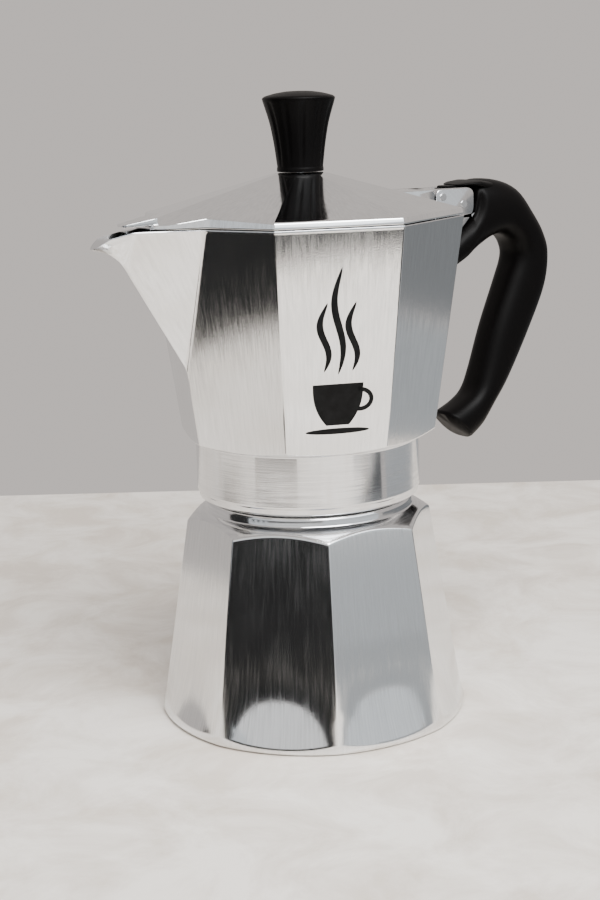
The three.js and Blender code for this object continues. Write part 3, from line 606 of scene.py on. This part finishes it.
def grip_surface():
    """Superelliptic sections (power 2.6) between the outer and inner edge. Near the hinge each
    side is hollowed to 7.2 mm from the middle, rising as a cone beyond 12.8 mm from its centre."""
    t = np.concatenate([[0, 0], np.linspace(0, 1, 150)[1:], [1, 1]])
    station = flowing(GRIP, t)
    outer, inner, half = station[:, :2], station[:, 2:4], station[:, 4:]
    size = np.ones(len(t))
    size[0], size[-1], size[-2], size[1] = 0, 0, 0.93, 0.97
    size = size[:, None]
    angle = np.linspace(0, TURN, 64, endpoint=False)[None, :]
    along, across = squared(np.cos(angle), 2 / 2.6) * size, squared(np.sin(angle), 2 / 2.6) * size
    centre, reach = (outer + inner) / 2, (outer - inner) / 2
    x = centre[:, :1] + reach[:, :1] * along
    z = centre[:, 1:] + reach[:, 1:] * along
    y = across * half
    shift = np.zeros((len(t), 1))
    shift[-2:] = 0.9
    x, z = x - 0.7 * shift, z - 0.7 * shift
    away = np.hypot(x - 60, z - 172)
    limit = 7.2 + 1.3 * np.clip(away - 12.8, 0, None)
    limit = np.where(away < 18, limit, 99)
    y = np.sign(y) * smooth_min(np.abs(y), limit, 0.8)
    return np.stack([x, y, z], axis=-1)


def fin_surface():
    """The thin web that runs from the grip over the top of the lug and ends in a point."""
    x = np.array([65, 65, 65.3, 66, 67, 68, 69.5, 71, 73, 76, 79, 80])[:, None]
    top = np.interp(x, [65, 68, 73, 80], [175.9, 176.5, 177.1, 176.4])
    low = np.interp(x, [65, 70, 72, 80], [175.4, 175.35, 174.5, 172])
    half = np.interp(x, [65, 66, 69, 73, 80], [3.0, 5.0, 7.2, 8.2, 7])
    size = np.ones((12, 1))
    size[0] = size[-1] = 0
    angle = np.linspace(0, TURN, 32, endpoint=False)[None, :]
    y = squared(np.cos(angle), 0.6) * half * size
    z = (top + low) / 2 + squared(np.sin(angle), 0.8) * (top - low) / 2 * size
    return np.stack([x + 0 * y, y, z], axis=-1)


def make_handle():
    """The grip, the web over the lug, and the tongue between the lug's ears as a plate."""
    tongue = plate(rounded_outline([(61.2, 165, 0.5), (72, 165, 1), (73, 175.6, 1),
                                    (61.2, 175.6, 0.8)]), -2.95, 2.95, 0.2)
    make_piece("hook_handle", [grip_surface(), fin_surface(), tongue], [moulded], "upper",
               ["handle"], sharp=60)


# ---------------------------------------------------------------- print on the front facet
PRINT_ANGLE = math.radians(-112.5)


def printed(left, right):
    """A band of print on the facet between two edges (across, z): 0.03 mm proud of the flat,
    whose distance from the axis grows with height like the chamber's."""
    out = np.array([math.cos(PRINT_ANGLE), math.sin(PRINT_ANGLE)])
    along = np.array([-out[1], out[0]])
    edges = np.stack([left, right, right, left], axis=1)
    proud = np.array([0.03, 0.03, -0.05, -0.05])
    away = chamber_corner(edges[..., 1]) * math.cos(CORNER / 2) + proud
    flat = away[..., None] * out + edges[..., :1] * along
    rows = np.concatenate([flat, edges[..., 1:]], axis=-1)
    ends = [np.broadcast_to(row.mean(axis=1, keepdims=True), row.shape)
            for row in (rows[:1], rows[-1:])]
    return np.concatenate([ends[0], rows, ends[1]])


def make_print():
    """A plain cup on a saucer with three wisps of steam. The cup's side is part of an ellipse,
    its handle an oval band, the saucer a lens, and each wisp a sine wave that fades at its ends."""
    def mirrored(half, z, centre=0.0):
        """A band that reaches the same way to both sides of its centre."""
        return printed(np.stack([centre - half, z], axis=1), np.stack([centre + half, z], axis=1))

    t = np.linspace(0, 1, 40)
    cup = mirrored(8.2 * (1 - (1 - t) ** 2.6 * 0.55), 106.5 + 13.5 * t)
    saucer = mirrored(10.4 * np.sqrt(np.clip(1 - (2 * t - 1) ** 2, 0.02, 1)), 103.6 + 1.9 * t)
    turn = np.radians(np.linspace(-100, 100, 40))[:, None]
    oval = np.concatenate([np.cos(turn), np.sin(turn)], axis=1)
    ear = printed([7.2, 114.6] + oval * [4.4, 3.9], [7.2, 114.6] + oval * [3.0, 2.5])
    wisps = [mirrored(1.15 * np.sin(np.pi * t) ** 0.6 + 0.02, low + tall * t,
                      centre + 1.5 * np.sin(TURN * t * 1.1))
             for centre, low, tall in ((-4.6, 124, 22), (0, 123, 34), (4.6, 124, 22))]
    make_piece("cup_print", [cup, saucer, ear, *wisps], [ink], "upper",
               sharp=30)


# ---------------------------------------------------------------- camera
def make_camera():
    """The camera: where it stands, the point of the pot's axis it looks at, and its slight roll."""
    place = Vector((-0.3334, -0.4589, 0.2139))
    target = Vector((0.0, 0.0045, 0.0892))
    roll = math.radians(-1.57)
    forward = (target - place).normalized()
    side = forward.cross(Vector((0, 0, 1))).normalized()
    top = side.cross(forward)
    right = side * math.cos(roll) + top * math.sin(roll)
    up = top * math.cos(roll) - side * math.sin(roll)
    data = bpy.data.cameras.new("camera")
    data.sensor_width = 36
    data.lens = 68.15
    data.clip_start, data.clip_end = 0.01, 50
    camera = bpy.data.objects.new("camera", data)
    axes = Matrix((right, up, -forward)).transposed().to_4x4()
    camera.matrix_world = Matrix.Translation(place) @ axes
    bpy.context.collection.objects.link(camera)
    bpy.context.scene.camera = camera
    return camera


# ---------------------------------------------------------------- table and light
VIEW_ANGLE = math.radians(-126)  # where the camera stands, seen from the pot


def plain_mesh(name, points, faces):
    """A mesh object from points and faces, linked to the scene."""
    mesh = bpy.data.meshes.new(name)
    mesh.from_pydata([tuple(p) for p in points], [], faces)
    piece = bpy.data.objects.new(name, mesh)
    bpy.context.collection.objects.link(piece)
    return piece


def make_table():
    """A flat pale table. Its corners are metres from the pot's axis: towards the camera, and to
    the camera's right. The near left corner is cut off."""
    ahead = Vector((math.cos(VIEW_ANGLE), math.sin(VIEW_ANGLE), 0))
    aside = Vector((-ahead.y, ahead.x, 0))
    corners = [(-0.317, -0.35), (-0.317, 0.27), (0.425, 0.27), (0.425, -0.02), (0.2, -0.35)][::-1]
    points = [ahead * a + aside * b for a, b in corners]
    lower = [p - Vector((0, 0, 0.03)) for p in points]
    sides = [(i, (i + 1) % 5, 5 + (i + 1) % 5, 5 + i)[::-1] for i in range(5)]
    table = plain_mesh("table", points + lower, [(0, 1, 2, 3, 4), (9, 8, 7, 6, 5)] + sides)
    material, tree, shader = new_material("honed_cream_limestone")
    cloud = node(tree, "TexNoise", inputs={
        "Vector": object_place(tree), "Scale": per_metre(38), "Detail": 9.0, "Roughness": 0.68,
        "Distortion": 0.6})
    fill(shader, {
        "Base Color": two_tones(tree, cloud.outputs[0], 0.38, srgb("#d3c9bd"),
                                0.6, srgb("#ece6de")),
        "Roughness": 0.55})
    table.data.materials.append(material)


def make_card(name, start, end, low, high, brightness, radius=1.6, tint=(1, 1, 1)):
    """An upright curved card round the pot, from angle start to end in degrees and from low to
    high in metres. It lights the pot and shows in its metal, and the camera doesn't see it."""
    count = max(2, int((end - start) / 6))
    angles = np.radians(np.linspace(start, end, count + 1))
    ring = np.stack([np.cos(angles) * radius, np.sin(angles) * radius], axis=1)
    points = [(x, y, low) for x, y in ring] + [(x, y, high) for x, y in ring]
    faces = [(i, i + 1, count + 2 + i, count + 1 + i) for i in range(count)]
    card = plain_mesh(name, points, faces)
    material, _, shader = new_material(name)
    fill(shader, {"Base Color": (0, 0, 0, 1), "Roughness": 1.0, "Emission Color": (*tint, 1),
                  "Emission Strength": brightness})
    card.data.materials.append(material)
    card.visible_camera = False
    card.visible_shadow = False


def make_light():
    """Soft daylight: a pale room, a broad window to the right of the camera, a soft sky over the
    table, and darker parts of the room that give the metal its contrast."""
    world = bpy.data.worlds.new("room")
    world.use_nodes = True
    background = world.node_tree.nodes["Background"]
    background.inputs["Color"].default_value = srgb("#b6b0ac")
    background.inputs["Strength"].default_value = 1.4
    bpy.context.scene.world = world
    cool = (0.93, 0.97, 1.0)
    make_card("window_right", -108, -46, 0.8, 2.0, 3.4, tint=cool)
    make_card("wall_under_window", -112, -46, 0.05, 0.79, 0.95, tint=cool)
    make_card("low_wall_under_window", -112, -46, -0.29, 0.04, 0.6, tint=cool)
    make_card("low_room_front", -112, -46, -1.6, -0.3, 0.06, tint=cool)
    make_card("wall_left", 166, 190, 0.02, 1.0, 0.85, tint=cool)
    make_card("wall_behind_camera", -172, -112, 0.19, 1.6, 1.0)
    make_card("dark_behind_camera", -192, -113, -1.6, 0.18, 0.01)
    make_card("dark_left", 138, 166, -1.6, 1.0, 0.02)
    make_card("low_room_left", 166, 192, -1.6, 0.01, 0.01)
    make_card("wall_right", -40, 34, -0.27, 0.1, 0.24, tint=cool)
    make_card("low_room_right", -40, 34, -1.2, -0.28, 0.5, tint=cool)
    make_card("dark_strip_on_table", -178, -136, 0.001, 0.02, 0.01, radius=0.23)
    make_card("grey_strip_on_table", -82, -44, 0.001, 0.02, 0.5, radius=0.23, tint=cool)
    data = bpy.data.lights.new("sky", "AREA")
    data.shape, data.size = "DISK", 1.0
    data.energy = 33
    sky = bpy.data.objects.new("sky", data)
    sky.location = (-0.15, -0.75, 1.1)
    sky.rotation_euler = (Vector((0, 0, 0.1)) - sky.location).to_track_quat("-Z", "Y").to_euler()
    sky.visible_camera = False
    bpy.context.collection.objects.link(sky)


# ---------------------------------------------------------------- materials of the pot
BODY_RADIUS = 48.0  # mm, the radius at which the marks have their stated width
MARK_DEPTH, SPECKLE_DEPTH = 3e-5, 1e-5  # metres


def round_the_axis(tree, width, length):
    """Pattern coordinates that follow the pot and have no seam: the direction from the axis, so
    scaled that marks are width millimetres wide round the body, plus height and distance from the
    axis, so scaled that they are length millimetres long."""
    around, along = BODY_RADIUS / width, per_metre(length)
    place = object_place(tree)
    flat = node(tree, "VectorMath", {"operation": "MULTIPLY"}, {0: place, 1: (1, 1, 0)}).outputs[0]
    unit = node(tree, "VectorMath", {"operation": "NORMALIZE"}, {0: flat})
    reach = node(tree, "VectorMath", {"operation": "LENGTH"}, {0: flat})
    height = node(tree, "SeparateXYZ", inputs={0: place})
    rise = node(tree, "Math", {"operation": "ADD"},
                {0: height.outputs[2], 1: reach.outputs["Value"]})
    up = node(tree, "CombineXYZ", inputs={2: rise.outputs[0]})
    scaled = node(tree, "VectorMath", {"operation": "SCALE"}, {0: up.outputs[0], "Scale": along})
    return node(tree, "VectorMath", {"operation": "MULTIPLY_ADD"},
                {0: unit.outputs[0], 1: (around, around, 0), 2: scaled.outputs[0]}).outputs[0]


def pitted(tree, place, colour, share):
    """The colour with a dull spot about 0.4 mm wide in the given share of 6 mm cells."""
    spots = node(tree, "TexVoronoi", inputs={"Vector": place, "Scale": per_metre(5.9)})
    bare = node(tree, "MapRange", inputs={"Value": spots.outputs["Distance"],
                                          "From Min": 0.055, "From Max": 0.03})
    rare = node(tree, "Math", {"operation": "GREATER_THAN"},
                {0: spots.outputs["Color"], 1: 1 - share})
    pit = node(tree, "Math", {"operation": "MULTIPLY"}, {0: bare.outputs[0], 1: rare.outputs[0]})
    return node(tree, "Mix", {"data_type": "RGBA"},
                {0: pit.outputs[0], 6: colour, 7: srgb("#77797b")}).outputs[2]


def worked_metal(name, colour, roughness, pattern, depth, grain=0.0, turn=0.0, speckle=0.0,
                 pits=0.0):
    """Metal with fine tool marks, duller and a little darker along some of them. pattern is how
    wide the marks are round the pot and how long up it, in millimetres, depth how strongly they
    tilt the surface, and speckle the same for an even 0.4 mm grain. grain draws reflections out
    and turn is the part of a turn that points them. pits is the share of cells that have a dull
    spot. Marks finer than 0.3 mm are drawn that coarse so that they show."""
    material, tree, shader = new_material(name)
    place = object_place(tree)
    marks = node(tree, "TexNoise", inputs={
        "Vector": round_the_axis(tree, *pattern), "Scale": 1.0, "Detail": 3.0, "Roughness": 0.65})
    bump = node(tree, "Bump", inputs={"Height": marks.outputs[0], "Strength": depth,
                                      "Distance": MARK_DEPTH})
    if speckle:
        fine = node(tree, "TexNoise", inputs={"Vector": place, "Scale": per_metre(0.38),
                                              "Detail": 1.0})
        bump = node(tree, "Bump", inputs={"Height": fine.outputs[0], "Normal": bump.outputs[0],
                                          "Strength": speckle, "Distance": SPECKLE_DEPTH})
    wear = node(tree, "TexNoise", inputs={"Vector": place, "Scale": per_metre(17), "Detail": 4.0,
                                          "Roughness": 0.6})
    worn = node(tree, "Math", {"operation": "MULTIPLY"}, {0: wear.outputs[0], 1: 0.4})
    both = node(tree, "Math", {"operation": "ADD"}, {0: marks.outputs[0], 1: worn.outputs[0]})
    spread = node(tree, "MapRange", inputs={
        "Value": both.outputs[0], "From Min": 0.55, "From Max": 0.85,
        "To Min": roughness * 0.7, "To Max": roughness * 1.45})
    bright = srgb(colour)
    darker = [0.86 * v for v in bright[:3]] + [1.0]
    shown = two_tones(tree, both.outputs[0], 0.55, bright, 0.95, darker)
    if pits:
        shown = pitted(tree, place, shown, pits)
    fill(shader, {"Base Color": shown, "Metallic": 1.0, "Roughness": spread.outputs[0],
                  "Normal": bump.outputs[0]})
    if grain:
        tangent = node(tree, "Tangent", {"direction_type": "RADIAL", "axis": "Z"})
        fill(shader, {"Anisotropic": grain, "Anisotropic Rotation": turn,
                      "Tangent": tangent.outputs[0]})
    return material


def moulded_nylon():
    """Glass-filled nylon from a satin mould: near black, softly shining, faintly pebbled."""
    material, tree, shader = new_material("moulded_black_nylon")
    pebble = node(tree, "TexNoise", inputs={
        "Vector": object_place(tree), "Scale": per_metre(0.38), "Detail": 2.0})
    bump = node(tree, "Bump", inputs={"Height": pebble.outputs[0], "Strength": 0.25,
                                      "Distance": MARK_DEPTH})
    fill(shader, {"Base Color": srgb("#060505"), "Roughness": 0.4, "IOR": 1.45,
                  "Specular IOR Level": 0.08, "Normal": bump.outputs[0]})
    return material


def mottled(name, low, high, roughness, gloss=0.5):
    """A matt surface whose tone and roughness vary softly over about 3 mm."""
    material, tree, shader = new_material(name)
    cloud = node(tree, "TexNoise", inputs={
        "Vector": object_place(tree), "Scale": per_metre(2.9), "Detail": 3.0})
    spread = node(tree, "MapRange", inputs={
        "Value": cloud.outputs[0], "To Min": roughness - 0.12, "To Max": roughness + 0.12})
    fill(shader, {
        "Base Color": two_tones(tree, cloud.outputs[0], 0.35, srgb(low), 0.65, srgb(high)),
        "Roughness": spread.outputs[0], "Specular IOR Level": gloss})
    return material


# Sides of the castings: belted upwards, near mirror, with long fine streaks and a few pits.
brushed_up = worked_metal("brushed_cast_aluminium", "#eaebec", 0.1, (0.64, 11), 0.6,
                          grain=0.2, speckle=0.4, pits=0.04)
# Collar, neck and edges: lathe lines that run round and draw highlights up and down.
turned = worked_metal("turned_aluminium", "#e3e4e6", 0.12, (24, 0.33), 0.12, grain=0.5, turn=0.25)
# Lid: buffed, so it mirrors the knob and the room.
mirror_polished = worked_metal("polished_aluminium", "#eeeff0", 0.08, (0.8, 2.5), 0.02)
# Insides: blasted, pale and dull.
as_cast = worked_metal("blasted_cast_aluminium", "#d9dadb", 0.38, (0.8, 0.67), 0.3)
# Funnel and filter plate: pressed sheet with faint spinning lines.
spun = worked_metal("spun_sheet_aluminium", "#dcddde", 0.26, (24, 0.4), 0.15, grain=0.4, turn=0.25)
# Pins, screw, spring and washers: bright drawn steel.
steel = worked_metal("bright_steel", "#c9c9ca", 0.22, (1.2, 1.1), 0.1)
# Valve body: turned brass, warm beside the aluminium.
brass = worked_metal("turned_brass", "#d9b36a", 0.24, (1.2, 1.1), 0.1)
# Knob and handle: near black, so that only a soft highlight shows their shape.
moulded = moulded_nylon()
# Gasket: chalky off-white, matt, slightly cloudy.
silicone_material = mottled("moulded_silicone", "#dedacf", "#ebe8e0", 0.5)
# The printed cup: thin matt black ink.
ink = mottled("pad_printed_black_ink", "#080808", "#121212", 0.55, gloss=0.12)

finish_of = {
    "cast_aluminium": brushed_up, "polished_aluminium": mirror_polished, "sheet_aluminium": spun,
    "steel": steel, "brass": brass, "black_nylon": moulded, "silicone": silicone_material,
}
for part in frame["record"]["subparts"]:
    piece = frame["nodes"][part["node"]]
    piece.data.materials.clear()
    piece.data.materials.append(finish_of[part["material_slot"]])

make_boiler()
make_upper_chamber()
make_lid()
make_knob()
make_handle()
make_print()
make_camera()
make_table()
make_light()
